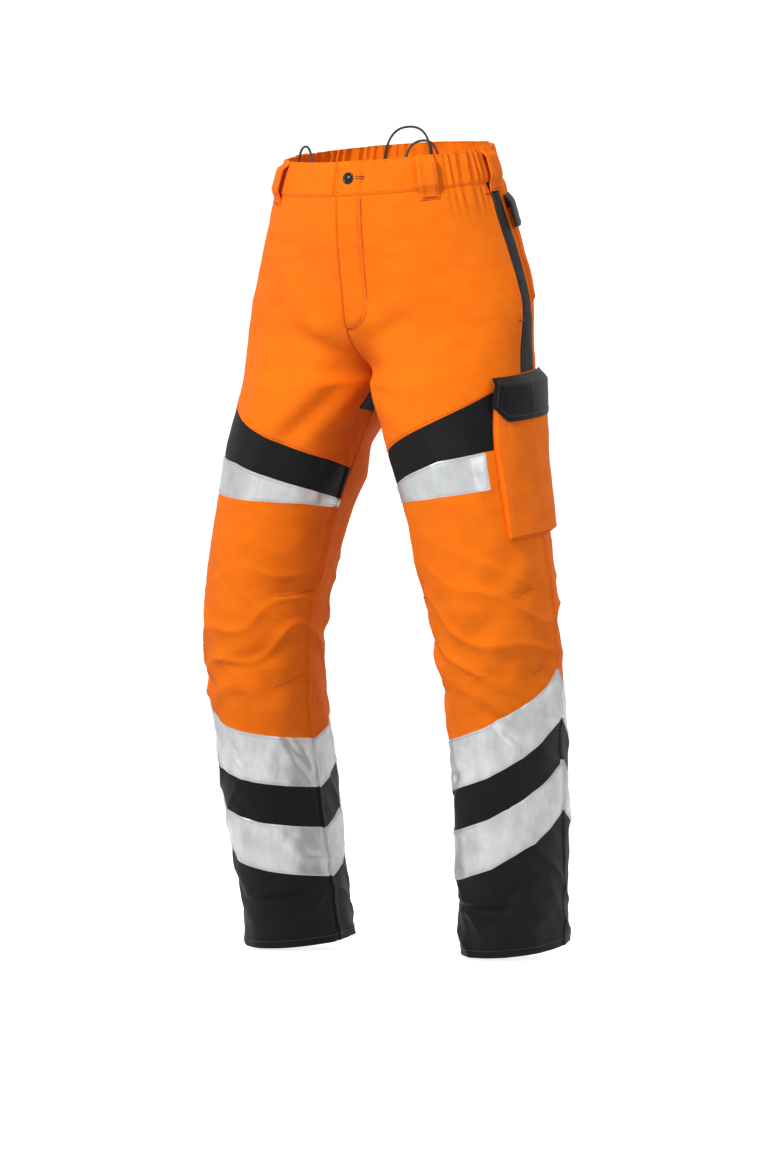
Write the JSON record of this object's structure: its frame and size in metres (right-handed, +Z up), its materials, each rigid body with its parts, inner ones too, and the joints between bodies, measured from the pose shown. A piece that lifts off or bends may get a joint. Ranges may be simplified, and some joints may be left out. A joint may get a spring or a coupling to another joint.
{
  "type": "chainsaw protective trousers",
  "caption": "High-visibility chainsaw protective trousers with padded legs, bending knees, reflective bands, belt loops, zip fly, cargo pocket and pocket flaps.",
  "frame": {"origin": "centre of the waist opening, at the top edge of the waistband at the side", "axes": "+Z up towards the waist, the wearer faces -Y, +X is the wearer's left"},
  "size_m": [0.5574, 0.2699, 1.1474],
  "materials": {
    "orange_cloth": "fluorescent orange twill, matt",
    "black_cloth": "black hard-wearing twill, matt",
    "reflective_tape": "silver-grey retroreflective tape, satin",
    "protective_fleece": "off-white loose-fibre cut protection pad",
    "black_lining": "thin black lining",
    "black_cord": "woven black cord",
    "black_gloss": "glossy black",
    "metal": "dull nickel"
  },
  "bodies": {
    "upper": {"front_panel_left": "orange_cloth", "side_strip_left": "black_cloth", "back_seat_left": "orange_cloth", "crotch_gusset_left": "black_cloth", "back_thigh_left": "orange_cloth", "thigh_band_left": "black_cloth", "front_thigh_left": "orange_cloth", "thigh_tape_left": "reflective_tape", "knee_sleeve_left": "orange_cloth", "cut_pad_left": "protective_fleece", "pocket_bag_left": "black_lining", "belt_loop_front_left": "orange_cloth", "belt_loop_side_left": "orange_cloth", "belt_loop_rear_left": "orange_cloth", "front_panel_right": "orange_cloth", "side_strip_right": "black_cloth", "back_seat_right": "orange_cloth", "crotch_gusset_right": "black_cloth", "back_thigh_right": "orange_cloth", "thigh_band_right": "black_cloth", "front_thigh_right": "orange_cloth", "thigh_tape_right": "reflective_tape", "knee_sleeve_right": "orange_cloth", "cut_pad_right": "protective_fleece", "pocket_bag_right": "black_lining", "belt_loop_front_right": "orange_cloth", "belt_loop_side_right": "orange_cloth", "belt_loop_rear_right": "orange_cloth", "belt_loop_centre_back": "orange_cloth", "button_rivet": "metal", "waistband_front_left": "orange_cloth", "waistband_front_right": "orange_cloth", "waistband_back": "orange_cloth", "brace_loop_front_left": "black_cord", "brace_loop_front_right": "black_cord", "brace_loop_rear": "black_cord", "cargo_pocket": "orange_cloth", "rear_pocket": "orange_cloth", "fly_facing": "orange_cloth", "fly_shield": "orange_cloth", "zip_tape_left": "black_lining", "zip_tape_right": "black_lining", "zip_chain": "metal"},
    "left_shin": {"shin_panel_left": "orange_cloth", "lower_leg_left": "black_cloth", "shin_tape_upper_left": "reflective_tape", "shin_tape_lower_left": "reflective_tape", "hem_facing_left": "black_lining"},
    "right_shin": {"shin_panel_right": "orange_cloth", "lower_leg_right": "black_cloth", "shin_tape_upper_right": "reflective_tape", "shin_tape_lower_right": "reflective_tape", "hem_facing_right": "black_lining"},
    "button": {"waist_button": "black_gloss"},
    "cargo_flap": {"cargo_flap": "black_cloth"},
    "rear_flap": {"rear_flap": "black_cloth"},
    "slider": {"zip_slider": "metal", "zip_pull": "metal"}
  },
  "joints": [
    {"name": "left_knee", "type": "hinge", "parent": "upper", "child": "left_shin", "pos_m": [0.194, -0.028, -0.652], "axis": [1, 0, 0], "range_deg": [0, 75], "deforming": ["knee_sleeve_left", "cut_pad_left"]},
    {"name": "right_knee", "type": "hinge", "parent": "upper", "child": "right_shin", "pos_m": [-0.194, -0.028, -0.652], "axis": [1, 0, 0], "range_deg": [0, 75], "deforming": ["knee_sleeve_right", "cut_pad_right"]},
    {"name": "cargo_flap_hinge", "type": "hinge", "parent": "upper", "child": "cargo_flap", "pos_m": [0.22189, 0.00859, -0.30807], "axis": [0.109, -0.9824, -0.1517], "range_deg": [0, 120]},
    {"name": "rear_flap_hinge", "type": "hinge", "parent": "upper", "child": "rear_flap", "pos_m": [0.1417, 0.07751, -0.05585], "axis": [0.7172, -0.6879, -0.1114], "range_deg": [0, 140]},
    {"name": "zip_slide", "type": "slide", "parent": "upper", "child": "slider", "axis": [0, 0.1066, -0.9943], "range_m": [0, 0.115], "deforming": ["zip_chain"]},
    {"name": "waist_button_swivel", "type": "hinge", "parent": "upper", "child": "button", "pos_m": [0.01805, -0.12378, -0.04321], "axis": [0.0833, -0.9781, 0.1907], "continuous": true}
  ]
}
